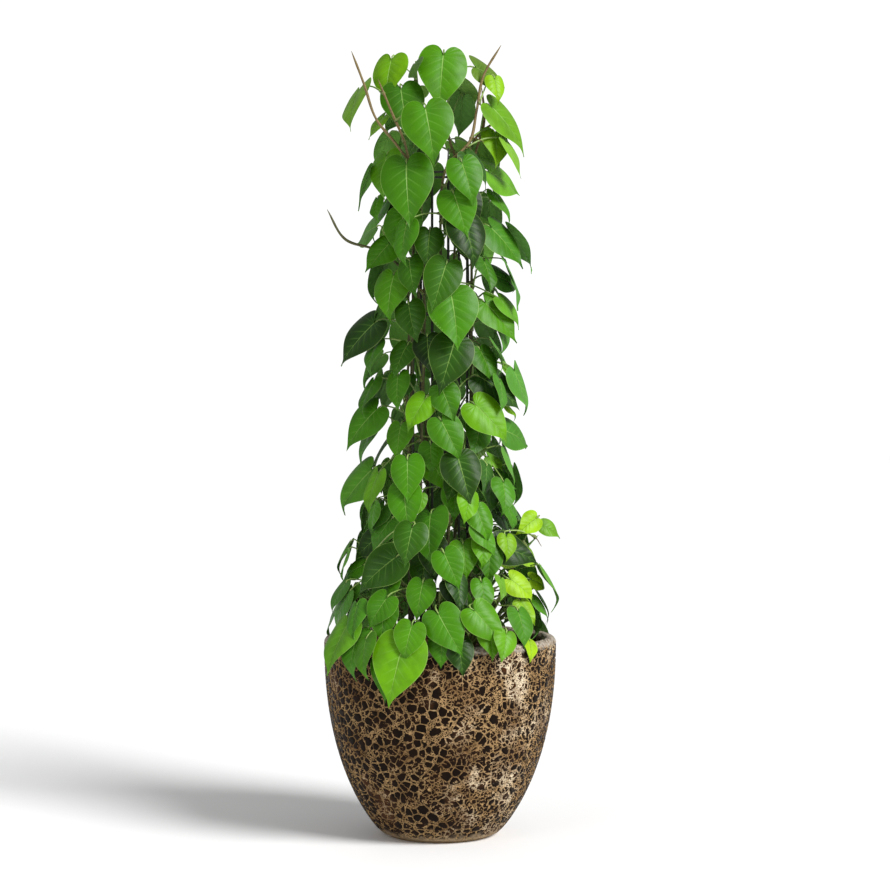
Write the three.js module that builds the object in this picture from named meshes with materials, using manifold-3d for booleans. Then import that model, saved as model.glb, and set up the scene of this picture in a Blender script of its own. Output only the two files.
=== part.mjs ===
// A potted heartleaf philodendron (Philodendron hederaceum). A glazed bowl planter holds potting mix,
// an open wire column stands in the mix, climbing vines run up the column, and short shoots spread
// from its foot over the rim. Every vine is one grown piece: its stem, its petioles and its leaves.
//
// Millimetres, +Z up. The origin is the centre of the planter's flat base. The show side faces -Y, and
// a bearing is measured round the plant from there: 0 is the front, 90 is +X, 180 the back, -90 is -X.
import * as THREE from 'three';
import { mergeVertices } from 'three/addons/utils/BufferGeometryUtils.js';
import Module from 'manifold-3d';

const wasm = await Module();
wasm.setup();

// ---- driving dimensions ----

const GAP = 0.35; // between neighbours that touch

const PLANTER = {
  height: 343,
  footRadius: 94,
  rimRadius: 200,
  footRound: 5, // the edge between the flat base and the wall
  wall: 20,
  floor: 24,
  steepness: 2.35, // how soon the wall stands upright
  fullness: 0.8, // how round the belly is
  segments: 32,
};
const HEADSPACE = 30; // from the rim down to the potting mix
const MIX_TOP = PLANTER.height - HEADSPACE;

const COLUMN = {
  uprights: 6,
  uprightRadius: 2.5,
  circleRadius: 48,
  bottom: 110,
  top: 1180,
  hoopRadius: 2,
  hoopHeights: [420, 660, 900, 1140],
  firstBearing: 17,
};

const STEM = { radius: 3, sides: 4, stepLength: 62, depth: 45 };
const CLIMB_RADIUS = COLUMN.circleRadius + COLUMN.uprightRadius + STEM.radius + 1.5;
const PETIOLE = { radius: 1.5, longest: 150, best: 62, arch: 11, set: 5 };
const BLADE = {
  thickness: 1.5,
  widthToLength: 0.7,
  lobe: 0.17, // how far the lobes stand behind the petiole, as a share of petiole to tip
  bulge: 0.055, // height of the midrib's arch, as a share of petiole to tip
  edgeDrop: 0.1, // how far the margins lie behind the midrib, as a share of half the width
};
const ROOM = { scale: 1.06, thickness: 5, petiole: 2.6 }; // what a leaf keeps clear round itself

// How far the foliage stands from the axis at each height: [height, radius].
const FOLIAGE = [
  [360, 209], [400, 186], [450, 168], [520, 146], [600, 122], [680, 106],
  [1000, 100], [1200, 92], [1290, 70], [1370, 45],
];

// The point in front of the plant from which the show leaves' places and leans are given.
const VIEWPOINT = { distance: 3700, height: 740 };

// ---- small helpers ----

const DEGREE = Math.PI / 180;
const vector = (x, y, z) => new THREE.Vector3(x, y, z);
const outward = (bearing) => vector(Math.sin(bearing * DEGREE), -Math.cos(bearing * DEGREE), 0);
const around = (bearing, radius, z) => outward(bearing).multiplyScalar(radius).setZ(z);

// The same numbers on every run.
function seededRandom(seed) {
  let state = seed;
  return () => {
    state = (state + 0x6d2b79f5) | 0;
    let t = Math.imul(state ^ (state >>> 15), 1 | state);
    t = (t + Math.imul(t ^ (t >>> 7), 61 | t)) ^ t;
    return ((t ^ (t >>> 14)) >>> 0) / 4294967296;
  };
}

function between(table, at) {
  const last = table.length - 1;
  if (at <= table[0][0]) return table[0][1];
  if (at >= table[last][0]) return table[last][1];
  const i = table.findIndex(([start]) => start > at);
  const [[a, from], [b, to]] = [table[i - 1], table[i]];
  return from + ((to - from) * (at - a)) / (b - a);
}

function solidOf(geometry) {
  const bare = geometry.clone();
  bare.deleteAttribute('normal');
  bare.deleteAttribute('uv');
  const merged = mergeVertices(bare, 1e-4);
  return new wasm.Manifold(new wasm.Mesh({
    numProp: 3,
    vertProperties: new Float32Array(merged.attributes.position.array),
    triVerts: new Uint32Array(merged.index.array),
  }));
}

function geometryOf(solid) {
  const { vertProperties, triVerts } = solid.getMesh();
  const geometry = new THREE.BufferGeometry();
  geometry.setAttribute('position', new THREE.BufferAttribute(vertProperties, 3));
  geometry.setIndex(new THREE.BufferAttribute(triVerts, 1));
  geometry.computeVertexNormals();
  return geometry;
}

function polygon(radius, sides) {
  const corners = [];
  for (let i = 0; i < sides; i += 1) {
    const angle = (i / sides) * 2 * Math.PI;
    corners.push(new THREE.Vector2(radius * Math.cos(angle), radius * Math.sin(angle)));
  }
  return new THREE.Shape(corners);
}

function stem(curve, radius) {
  return new THREE.ExtrudeGeometry(polygon(radius, STEM.sides), {
    steps: stemSteps(curve),
    extrudePath: curve,
  });
}

function stemSteps(curve) {
  return Math.max(4, Math.round(curve.getLength() / STEM.stepLength));
}

function lathe(profile, segments) {
  const geometry = new THREE.LatheGeometry(profile, segments);
  return geometry.rotateX(Math.PI / 2); // the lathe turns about Y, and the plant stands along Z
}

// ---- the planter, the potting mix and the wire column ----

// The outside of the bowl: steep from a narrow foot, then nearly upright to the rim.
function planterRadius(z) {
  const climb = 1 - (1 - z / PLANTER.height) ** PLANTER.steepness;
  return PLANTER.footRadius + (PLANTER.rimRadius - PLANTER.footRadius) * climb ** PLANTER.fullness;
}

// Points down the inside of the wall, from the potting mix's surface to just above the floor.
function innerWall(gap) {
  const heights = [MIX_TOP, 255, 195, 140, 95, 55, PLANTER.floor];
  return heights.map((z) => new THREE.Vector2(planterRadius(z) - PLANTER.wall - gap, z + gap));
}

function planter() {
  const { height, footRadius, footRound, wall } = PLANTER;
  const profile = [new THREE.Vector2(0, 0), new THREE.Vector2(footRadius - footRound, 0)];
  const lipCentre = height - wall / 2;
  for (const z of [footRound, 21, 42, 68, 100, 140, 185, 235, 285, lipCentre]) {
    profile.push(new THREE.Vector2(planterRadius(z), z));
  }
  for (let angle = 36; angle <= 180; angle += 36) {
    profile.push(new THREE.Vector2(
      planterRadius(lipCentre) + (wall / 2) * (Math.cos(angle * DEGREE) - 1),
      lipCentre + (wall / 2) * Math.sin(angle * DEGREE),
    ));
  }
  profile.push(...innerWall(0), new THREE.Vector2(0, PLANTER.floor));
  return lathe(profile, PLANTER.segments);
}

function pottingMix() {
  const crown = new THREE.Vector2(0, MIX_TOP + 4);
  const profile = [crown, ...innerWall(GAP), new THREE.Vector2(0, PLANTER.floor + GAP)];
  return lathe(profile.reverse(), PLANTER.segments);
}

function upright(i) {
  const length = COLUMN.top - COLUMN.bottom;
  const geometry = new THREE.CylinderGeometry(COLUMN.uprightRadius, COLUMN.uprightRadius, length, 6);
  const bearing = COLUMN.firstBearing + (i * 360) / COLUMN.uprights;
  const middle = around(bearing, COLUMN.circleRadius, (COLUMN.top + COLUMN.bottom) / 2);
  return geometry.rotateX(Math.PI / 2).translate(middle.x, middle.y, middle.z);
}

function hoop(z) {
  const radius = COLUMN.circleRadius - COLUMN.uprightRadius - COLUMN.hoopRadius - GAP;
  const section = [];
  for (let i = 0; i <= 5; i += 1) {
    const angle = (i / 5) * 2 * Math.PI;
    section.push(new THREE.Vector2(
      radius + COLUMN.hoopRadius * Math.cos(angle),
      z + COLUMN.hoopRadius * Math.sin(angle),
    ));
  }
  return lathe(section, 16);
}

// ---- the routes of the stems ----

// Climbing vines: the bearing at the foot, how far it drifts round on the way up, the height at which
// it leaves the column, and the points of its free end.
const CLIMBERS = [
  { name: 'vine_front_left', foot: -24, drift: -14, leaves: 1120,
    end: [[-63, -58, 1172], [-98, -60, 1205], [-113, -56, 1240], [-130, -50, 1290], [-151, -46, 1345]] },
  { name: 'vine_front_right', foot: 22, drift: -16, leaves: 1100,
    end: [[14, -66, 1150], [38, -66, 1170], [56, -46, 1205], [64, -26, 1255], [72, -18, 1300],
      [86, -14, 1330], [105, -10, 1361]] },
  { name: 'vine_right', foot: 66, drift: 12, leaves: 1120,
    end: [[62, -14, 1180], [76, -6, 1230], [72, 4, 1290]] },
  { name: 'vine_back_right', foot: 112, drift: 10, leaves: 1130,
    end: [[54, 32, 1185], [74, 40, 1225], [112, 42, 1245]] },
  { name: 'vine_back', foot: 158, drift: -12, leaves: 1140,
    end: [[18, 50, 1200], [6, 38, 1262], [10, 14, 1318]] },
  { name: 'vine_back_left', foot: -156, drift: 14, leaves: 1120,
    end: [[-30, 46, 1185], [-42, 38, 1245], [-38, 26, 1300]] },
  { name: 'vine_far_left', foot: -112, drift: 12, leaves: 920,
    end: [[-60, 8, 965], [-80, -8, 998], [-125, -18, 1012], [-170, -22, 1031], [-188, -22, 1050],
      [-194, -22, 1078]] },
  { name: 'vine_left', foot: -68, drift: 10, leaves: 1110,
    end: [[-54, -32, 1170], [-68, -40, 1206], [-86, -42, 1250], [-106, -44, 1298]] },
];

// Spreading shoots: the bearing, how far out the tip reaches, and how high it stands over the mix.
const SPREADERS = [
  { name: 'shoot_front', bearing: -4, reach: 112, rise: 118 },
  { name: 'shoot_front_right', bearing: 38, reach: 138, rise: 92 },
  { name: 'shoot_right', bearing: 72, reach: 172, rise: 206 },
  { name: 'shoot_right_low', bearing: 98, reach: 142, rise: 84 },
  { name: 'shoot_back_right', bearing: 136, reach: 140, rise: 150 },
  { name: 'shoot_back', bearing: 176, reach: 132, rise: 96 },
  { name: 'shoot_back_left', bearing: -142, reach: 140, rise: 140 },
  { name: 'shoot_left_low', bearing: -102, reach: 146, rise: 88 },
  { name: 'shoot_left', bearing: -74, reach: 138, rise: 170 },
  { name: 'shoot_front_left', bearing: -42, reach: 136, rise: 98 },
];

function climberRoute({ foot, drift, leaves, end }) {
  const points = [];
  const bottom = MIX_TOP - STEM.depth;
  for (let z = bottom; z <= leaves; z += (leaves - bottom) / 12) {
    const climbed = (z - bottom) / (leaves - bottom);
    const wave = 7 * Math.sin(foot + climbed * 9);
    const ripple = 1.5 + 1.5 * Math.sin(foot * 2 + climbed * 17);
    points.push(around(foot + drift * climbed + wave, CLIMB_RADIUS + ripple, z));
  }
  return new THREE.CatmullRomCurve3([...points, ...end.map((p) => vector(...p))]);
}

function spreaderRoute({ bearing, reach, rise }) {
  const foot = CLIMB_RADIUS + 18;
  return new THREE.CatmullRomCurve3([
    around(bearing, foot, MIX_TOP - STEM.depth),
    around(bearing - 2, foot + 4, MIX_TOP + rise * 0.25),
    around(bearing + 1, foot + (reach - foot) * 0.35, MIX_TOP + rise * 0.72),
    around(bearing + 5, foot + (reach - foot) * 0.7, MIX_TOP + rise * 0.96),
    around(bearing + 7, reach, MIX_TOP + rise),
  ]);
}

// ---- one leaf with its petiole ----

// Half of the blade's outline, from the petiole round a lobe to near the tip: [along, across], with
// along from the petiole (0) to the tip (1) and across from the midrib (0) to the widest point (1).
const HALF_OUTLINE = [[0, 0.03], [-BLADE.lobe, 0.46], [0.12, 0.98], [0.5, 0.75], [0.82, 0.17]];
const MIDRIB = [0.26, 0.64]; // where the two crown points of each face lie

const BLADE_FACES = []; // triangles over 11 rim points, 2 front crowns, 2 rear crowns and the underside
{
  const [front, rear, under] = [[11, 12], [13, 14], 15];
  for (const [a, b, crown] of [
    [0, 1, 0], [1, 2, 0], [2, 3, 1], [3, 4, 1], [4, 5, 1], [5, 6, 1], [6, 7, 1], [7, 8, 1], [8, 9, 0],
    [9, 10, 0],
  ]) {
    BLADE_FACES.push([front[crown], a, b], [rear[crown], b, a]);
  }
  BLADE_FACES.push([front[0], 2, front[1]], [front[1], 8, front[0]], [front[0], 10, 0]);
  BLADE_FACES.push([rear[1], 2, rear[0]], [rear[0], 8, rear[1]]);
  BLADE_FACES.push([rear[0], under, 10], [rear[0], 0, under]);
}

// The blade's own directions: to the tip, to its right side, and out of its face. turn is the bearing
// that it faces, pitch lifts the tip outward, and swing turns it in its own plane.
function bladeAxes({ turn, pitch, swing }) {
  const out = outward(turn);
  const right = vector(Math.cos(turn * DEGREE), Math.sin(turn * DEGREE), 0);
  const down = vector(0, 0, -Math.cos(pitch * DEGREE)).addScaledVector(out, Math.sin(pitch * DEGREE));
  const along = down.clone().multiplyScalar(Math.cos(swing * DEGREE));
  along.addScaledVector(right, Math.sin(swing * DEGREE));
  const across = right.multiplyScalar(Math.cos(swing * DEGREE));
  across.addScaledVector(down, -Math.sin(swing * DEGREE));
  return { along, across, face: along.clone().cross(across) };
}

// The vertices of a blade whose petiole joins it at leaf.base.
function bladePoints(leaf, scale, thickness) {
  const { along, across, face } = bladeAxes(leaf);
  const reach = (leaf.length / (1 + BLADE.lobe)) * scale;
  const half = (leaf.length * leaf.width * scale) / 2;
  const start = leaf.base.clone().addScaledVector(along, (reach / scale - reach) * 0.4);
  const at = (u, t, lift = 0) => start.clone()
    .addScaledVector(along, u * reach)
    .addScaledVector(across, t * half)
    .addScaledVector(face, BLADE.bulge * reach * 4 * u * (1 - u) - BLADE.edgeDrop * Math.abs(t) * half + lift);
  const left = HALF_OUTLINE.map(([u, t]) => at(u, -t));
  const right = HALF_OUTLINE.map(([u, t]) => at(u, t)).reverse();
  const crowns = [thickness / 2, -thickness / 2].flatMap((lift) => MIDRIB.map((u) => at(u, 0, lift)));
  return [...left, at(1, 0), ...right, ...crowns, at(0, 0, -2 * PETIOLE.radius)];
}

// A three-sided ring for the petiole, across the direction way.
function ringPoints(centre, way, side, radius) {
  const under = way.clone().cross(side);
  return [
    centre.clone().addScaledVector(side, -0.87 * radius).addScaledVector(under, -0.5 * radius),
    centre.clone().addScaledVector(side, 0.87 * radius).addScaledVector(under, -0.5 * radius),
    centre.clone().addScaledVector(under, radius),
  ];
}

function turned(direction, from, to) {
  return direction.clone().applyQuaternion(new THREE.Quaternion().setFromUnitVectors(from, to));
}

// The petiole's rings: at the blade, at the arch just behind it, and inside the stem.
function petioleRings(leaf, radius) {
  const { along, across, face } = bladeAxes(leaf);
  const arch = leaf.base.clone().addScaledVector(along, -PETIOLE.arch).addScaledVector(face, -PETIOLE.set);
  const leaving = along.clone().negate();
  const toArch = arch.clone().sub(leaf.base).normalize();
  const toStem = leaf.node.clone().sub(arch).normalize();
  const bend = toArch.clone().add(toStem).normalize();
  const sideAtBend = turned(across, leaving, bend);
  return [
    ringPoints(leaf.base, leaving, across, radius),
    ringPoints(arch, bend, sideAtBend, radius),
    ringPoints(leaf.node, toStem, turned(sideAtBend, bend, toStem), radius),
  ];
}

function meshOf(points, faces) {
  const geometry = new THREE.BufferGeometry();
  geometry.setAttribute('position', new THREE.Float32BufferAttribute(points.flatMap((p) => p.toArray()), 3));
  geometry.setIndex(faces.flat());
  return solidOf(geometry);
}

// Joins rings of three points into a tube's side faces. Each ring is given as its three indices.
function tubeFaces(rings) {
  const faces = [];
  for (let i = 1; i < rings.length; i += 1) {
    for (let k = 0; k < 3; k += 1) {
      const [a, b] = [rings[i - 1][k], rings[i - 1][(k + 1) % 3]];
      const [c, d] = [rings[i][k], rings[i][(k + 1) % 3]];
      faces.push([a, b, d], [a, d, c]);
    }
  }
  return faces;
}

// The leaf itself: blade and petiole in one closed body.
function leafSolid(leaf) {
  const petiole = petioleRings(leaf, PETIOLE.radius).slice(1).flat();
  const points = [...bladePoints(leaf, 1, BLADE.thickness), ...petiole];
  const rings = [[0, 10, 15], [16, 17, 18], [19, 20, 21]];
  return meshOf(points, [...BLADE_FACES, ...tubeFaces(rings), rings[2]]);
}

// The room that the blade needs round it.
function bladeRoom(leaf) {
  const points = bladePoints(leaf, ROOM.scale, ROOM.thickness);
  return meshOf(points, [...BLADE_FACES, [0, 10, 15]]);
}

// The room that the petiole needs round it, short of the stem.
function petioleRoom(leaf) {
  const [atBlade, atArch, inStem] = petioleRings(leaf, ROOM.petiole);
  const atStem = inStem.map((p, k) => p.lerp(atArch[k], 0.06));
  const rings = [[0, 1, 2], [3, 4, 5], [6, 7, 8]];
  return meshOf([...atBlade, ...atArch, ...atStem], [[0, 2, 1], ...tubeFaces(rings), rings[2]]);
}

// ---- which leaves there are ----

// The leaves of the show side, from the top down: [x and z of the point where the petiole joins, blade
// length, lean, turn, depth]. Lean is how far the tip points to the right of straight down as seen from
// the viewpoint. Depth is 1 on the outside of the foliage, less further in, and negative behind the column.
const SHOW_LEAVES = [
  // over the top of the column
  [6, 1346, 124, -6, 4, 0.25], [-58, 1338, 98, -4, -20, -0.35], [-34, 1330, 60, 4, -60, 0.4],
  [-84, 1284, 108, 2, -16, 0.7], [-25, 1254, 120, 11, 2, 1.15], [45, 1286, 128, 9, 24, 0.8],
  [62, 1324, 100, 62, 62, 0.1], [84, 1304, 54, 4, 20, 0.4], [79, 1256, 124, 38, 50, 0.35],
  [84, 1210, 80, 2, 35, 0.2], [-139, 1286, 112, -10, -62, 0.1], [-96, 1240, 58, -35, -60, 0.3],
  [30, 1300, 84, 12, 150, -0.5], [-30, 1290, 80, -8, 200, -0.5],
  // below the top
  [-92, 1172, 96, -6, -38, 0.6], [-58, 1158, 138, 3, -8, 1.05], [38, 1160, 92, 16, 12, 1.1],
  [79, 1145, 116, 58, 66, 0.3], [24, 1106, 96, 20, 10, 0.98], [-108, 1098, 56, -4, -50, 0.3],
  [-63, 1072, 98, -5, -15, 0.72], [41, 1060, 100, 13, 22, 1.05], [92, 1108, 70, 30, 60, -0.2],
  [88, 1048, 106, 38, 48, 0.3], [-88, 1030, 76, -36, -36, 0.6], [-111, 1046, 94, -60, -66, 0.2],
  [-18, 1040, 76, -4, 0, 0.8],
  // the middle of the column
  [76, 990, 72, 12, 50, 0.6], [96, 966, 84, 60, 62, 0.3], [10, 984, 104, -18, -5, 0.95],
  [-80, 966, 100, -7, -30, 0.7], [20, 932, 114, 9, 6, 1.08], [-54, 914, 82, 10, -12, 0.75],
  [78, 919, 104, 38, 34, 0.6], [-113, 884, 114, -38, -45, 0.3], [-110, 848, 70, -15, -55, 0.5],
  [25, 850, 110, -16, 2, 1.0], [70, 836, 80, 18, 40, 0.65], [-22, 858, 72, 4, -10, 0.75],
  [-73, 792, 76, 2, -30, 0.7], [-115, 782, 76, -20, -60, 0.2], [112, 810, 48, 40, 70, 0.1],
  [70, 790, 110, 52, 36, 0.6], [-26, 752, 76, -30, -10, 0.95], [114, 742, 40, 35, 70, 0.2],
  [8, 778, 70, 2, 0, 0.7],
  // the lower column
  [58, 742, 102, 42, 24, 0.85], [-110, 734, 106, -37, -40, 0.4], [3, 714, 90, 25, 8, 1.05],
  [-68, 706, 74, -5, -25, 0.75], [112, 698, 88, 56, 60, 0.3], [67, 684, 50, 0, 30, 0.6],
  [-16, 672, 60, 0, 0, 0.85], [83, 652, 50, 50, 55, 0.5], [-56, 646, 86, 3, -10, 1.1],
  [32, 650, 98, 14, 8, 1.08], [-118, 630, 112, -37, -45, 0.4], [-100, 634, 58, -6, -45, 0.6],
  [79, 626, 100, 6, 50, 0.5], [100, 622, 60, 50, 60, 0.2], [-63, 598, 96, 9, -12, 1.05],
  [25, 596, 64, 0, 10, 0.85],
  // the upper skirt
  [-97, 566, 64, -30, -40, 0.6], [107, 572, 60, 55, 60, 0.4], [64, 562, 72, 17, 20, 1.0],
  [-16, 552, 108, 2, -35, 0.85], [166, 546, 58, -55, 20, 0.6], [-46, 530, 80, -11, -10, 1.12],
  [178, 534, 50, 56, 40, 0.4], [100, 500, 96, 66, 30, 0.75], [-106, 518, 80, -45, -40, 0.5],
  [107, 514, 52, 4, 30, 0.8], [74, 510, 62, 0, 20, 0.9], [8, 484, 78, 24, 5, 1.05],
  [-77, 478, 104, -49, -20, 0.95], [107, 482, 54, 60, 50, 0.7], [141, 486, 60, 55, 60, 0.4],
  [-135, 464, 62, -52, -60, 0.4], [-26, 474, 74, -6, -10, 0.7], [40, 500, 70, 6, 10, 0.8],
  // the lower skirt and the leaves over the rim
  [122, 440, 66, 50, 30, 0.85], [159, 440, 52, 55, 60, 0.5], [105, 440, 50, 2, 60, 0.9],
  [29, 440, 66, 5, 35, 0.95], [72, 434, 66, 5, 15, 0.95], [-151, 426, 58, -8, -50, 0.5],
  [-30, 432, 76, -10, -10, 0.9], [-70, 428, 72, 4, -20, 0.8], [166, 404, 58, 30, 70, 0.3],
  [-96, 396, 80, -5, -20, 0.95], [140, 402, 56, 30, 40, 0.8], [60, 386, 90, 38, 15, 1.05],
  [128, 384, 76, 10, 40, 0.8], [-130, 396, 76, -6, -50, 0.9], [-2, 380, 96, 28, 0, 1.0],
  [-160, 362, 108, -20, -50, 1.0], [-51, 362, 72, -15, -8, 1.1], [112, 346, 60, -14, 25, 1.04],
  [147, 338, 46, 6, 55, 0.8], [36, 328, 68, 5, 8, 1.05], [-63, 330, 128, -14, -6, 1.05],
  [-122, 336, 82, 5, -46, 1.04], [-92, 312, 96, -6, -24, 1.12], [-146, 344, 90, -10, -44, 1.04],
  [88, 352, 62, 4, 20, 1.0], [4, 346, 60, -4, 0, 1.02],
];

// The rest of the leaves: rows round the sides and the back, closer together in the skirt, and a few
// small dark ones close to the column everywhere.
const ROWS = { bottom: 350, top: 1320, spacing: 54, firstBearing: 84, lastBearing: 276 };
const REACH = [[115, 166], [130, 215]]; // how far out side leaves may start, by bearing from the front
const INNER_ROWS = [
  { bottom: 378, top: 620, spacing: 34, count: 9, depth: 0.84, size: 0.86 },
  { bottom: 650, top: 1180, spacing: 66, count: 6, depth: 0.76, size: 0.8 },
];

const random = seededRandom(11);
const spread = (width) => (random() - 0.5) * width;

function bladeLengthAt(z) {
  return between([[320, 96], [520, 82], [700, 88], [1100, 100], [1320, 84]], z) * (1 + spread(0.36));
}

// The swing that makes the tip lean by this much in the front view.
function swingFor(lean, turn, pitch) {
  const [l, t, p] = [lean * DEGREE, turn * DEGREE, pitch * DEGREE];
  return Math.atan((Math.tan(l) * Math.cos(p) - Math.sin(p) * Math.sin(t)) / Math.cos(t)) / DEGREE;
}

function showLeaf([x, z, length, lean, turn, depth]) {
  const radius = between(FOLIAGE, z);
  const y = -depth * Math.sqrt(Math.max(radius ** 2 - x ** 2, (0.4 * radius) ** 2));
  const nearer = 1 + y / VIEWPOINT.distance;
  const base = vector(x * nearer, y, VIEWPOINT.height + (z - VIEWPOINT.height) * nearer);
  const edgeOn = Math.abs(turn) > 75 && Math.abs(turn) < 100;
  const pitch = edgeOn ? Math.abs(lean) : 10 + Math.abs(turn) * 0.25;
  const facesFront = Math.abs(turn) < 75;
  const swing = facesFront ? swingFor(lean, turn, pitch) : spread(8);
  return { base, length, turn, pitch, swing, width: BLADE.widthToLength * (1 + spread(0.2)) };
}

function sideLeaf(bearing, z, depth, size) {
  const fromFront = Math.abs(THREE.MathUtils.euclideanModulo(bearing + 180, 360) - 180);
  const widest = between(REACH, fromFront);
  const radius = Math.min(widest, between(FOLIAGE, z) * depth * (1 + spread(0.16)));
  return {
    base: around(bearing, radius, z),
    length: bladeLengthAt(z) * size,
    turn: bearing + spread(50),
    pitch: 14 + spread(26),
    swing: spread(56),
    width: BLADE.widthToLength * (1 + spread(0.2)),
  };
}

function allLeaves() {
  const leaves = SHOW_LEAVES.map(showLeaf).sort((a, b) => b.length - a.length);
  let row = 0;
  for (let z = ROWS.bottom; z <= ROWS.top; z += ROWS.spacing) {
    const apart = z < 560 ? 33 : 42;
    const shift = row % 2 ? apart / 2 : 0;
    for (let bearing = ROWS.firstBearing + shift; bearing <= ROWS.lastBearing; bearing += apart) {
      leaves.push(sideLeaf(bearing + spread(12), z + spread(24), 1, 1));
    }
    row += 1;
  }
  for (const { bottom, top, spacing, count, depth, size } of INNER_ROWS) {
    for (let z = bottom; z <= top; z += spacing) {
      for (let i = 0; i < count; i += 1) {
        leaves.push(sideLeaf((i * 360) / count + z, z + spread(26), depth + spread(0.2), size));
      }
    }
  }
  return leaves;
}

// ---- placing the leaves clear of each other ----

const taken = []; // { solid, box, owner } of everything that a leaf must miss

function take(solid, owner = null) {
  const { min, max } = solid.boundingBox();
  taken.push({ solid, owner, box: new THREE.Box3(vector(...min), vector(...max)) });
}

function isFree(solid, owner = null) {
  const { min, max } = solid.boundingBox();
  const box = new THREE.Box3(vector(...min), vector(...max));
  return !taken.some((other) => {
    if (!box.intersectsBox(other.box) || (owner && other.owner === owner)) return false;
    const common = solid.intersect(other.solid);
    const meets = !common.isEmpty();
    common.delete();
    return meets;
  });
}

// The places on the stems where this leaf's petiole may grow, the best first.
function nodesFor(leaf, vines) {
  const found = [];
  for (const vine of vines) {
    for (const point of vine.nodes) {
      const distance = point.distanceTo(leaf.base);
      if (distance > PETIOLE.longest || distance < 22) continue;
      const above = Math.max(0, point.z - leaf.base.z);
      const further = Math.max(0, Math.hypot(point.x, point.y) - Math.hypot(leaf.base.x, leaf.base.y));
      found.push({ vine, point, cost: Math.abs(distance - PETIOLE.best) + above * 2 + further * 2 });
    }
  }
  return found.sort((a, b) => a.cost - b.cost).slice(0, 40);
}

// Small moves to try when a leaf's first place is taken: out or in, up or down, and turned.
const MOVES = [];
for (const turn of [0, 8, -8, 18, -18]) {
  for (const lift of [0, 4, -4, 9, -9]) {
    for (const out of [0, 5, -5, 10, -10, 17, -17, 26]) {
      MOVES.push({ out, lift, turn, cost: Math.abs(out) + Math.abs(lift) * 1.5 + Math.abs(turn) * 0.6 });
    }
  }
}
MOVES.sort((a, b) => a.cost - b.cost);

function place(wanted, vines) {
  for (const { out, lift, turn } of MOVES) {
    const base = wanted.base.clone();
    base.addScaledVector(vector(base.x, base.y, 0).normalize(), out).setZ(base.z + lift);
    const leaf = { ...wanted, base, turn: wanted.turn + turn };
    const room = bladeRoom(leaf);
    if (isFree(room)) {
      for (const { vine, point } of nodesFor(leaf, vines)) {
        leaf.node = point;
        const stalk = petioleRoom(leaf);
        if (isFree(stalk, vine)) {
          take(room);
          take(stalk);
          vine.leaves.push(leaf);
          vine.nodes = vine.nodes.filter((other) => other.distanceTo(point) > 14);
          return true;
        }
        stalk.delete();
      }
    }
    room.delete();
  }
  return false;
}

// Points along the middle of a stem's straight steps, above the potting mix.
function nodesAlong(route) {
  const corners = route.getSpacedPoints(stemSteps(route));
  const nodes = [];
  for (let i = 1; i < corners.length; i += 1) {
    for (let part = 0.1; part < 1; part += 0.16) {
      nodes.push(corners[i - 1].clone().lerp(corners[i], part));
    }
  }
  return nodes.filter((p) => p.z > MIX_TOP + 8);
}

// ---- the whole plant ----

const plant = new THREE.Group();

const FINISHES = {
  glaze: { color: 0x4a382a, roughness: 0.55, metalness: 0 },
  mix: { color: 0x2f2219, roughness: 1, metalness: 0 },
  wire: { color: 0x1f241d, roughness: 0.5, metalness: 0 },
  leaf: { color: 0x3f8f1f, roughness: 0.4, metalness: 0 },
  youngLeaf: { color: 0x5fae1a, roughness: 0.4, metalness: 0 },
};

function add(name, geometry, finish) {
  const mesh = new THREE.Mesh(geometry, new THREE.MeshStandardMaterial(FINISHES[finish]));
  mesh.name = name;
  plant.add(mesh);
}

function grow() {
  const vines = [
    ...CLIMBERS.map((climber) => ({ name: climber.name, finish: 'leaf', route: climberRoute(climber) })),
    ...SPREADERS.map((shoot) => ({ name: shoot.name, finish: 'youngLeaf', route: spreaderRoute(shoot) })),
  ];
  for (const vine of vines) {
    vine.leaves = [];
    vine.nodes = nodesAlong(vine.route);
    vine.stem = solidOf(stem(vine.route, STEM.radius));
    take(vine.stem, vine);
  }
  return vines;
}

const planterGeometry = planter();
const uprights = Array.from({ length: COLUMN.uprights }, (_, i) => upright(i));
const hoops = COLUMN.hoopHeights.map(hoop);
const vines = grow();
let mix = solidOf(pottingMix());
take(solidOf(planterGeometry));
take(mix);
for (const geometry of [...uprights, ...hoops]) {
  take(solidOf(geometry));
}
for (const leaf of allLeaves()) {
  place(leaf, vines);
}

// The mix is pierced where the stems and the uprights stand in it.
for (const { route } of vines) {
  mix = mix.subtract(solidOf(stem(route, STEM.radius + GAP)));
}
for (const geometry of uprights) {
  mix = mix.subtract(solidOf(geometry));
}

add('planter', planterGeometry, 'glaze');
add('potting_mix', geometryOf(mix), 'mix');
uprights.forEach((geometry, i) => add(`column_upright_${i + 1}`, geometry, 'wire'));
hoops.forEach((geometry, i) => add(`column_hoop_${i + 1}`, geometry, 'wire'));
for (const { name, finish, stem, leaves } of vines) {
  add(name, geometryOf(wasm.Manifold.union([stem, ...leaves.map(leafSolid)])), finish);
}

export default plant;
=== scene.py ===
"""The looks of a potted heartleaf philodendron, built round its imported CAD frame. Metres, +Z up."""

import math

import bmesh
import bpy
import numpy as np
from mathutils import Matrix, Vector


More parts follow.
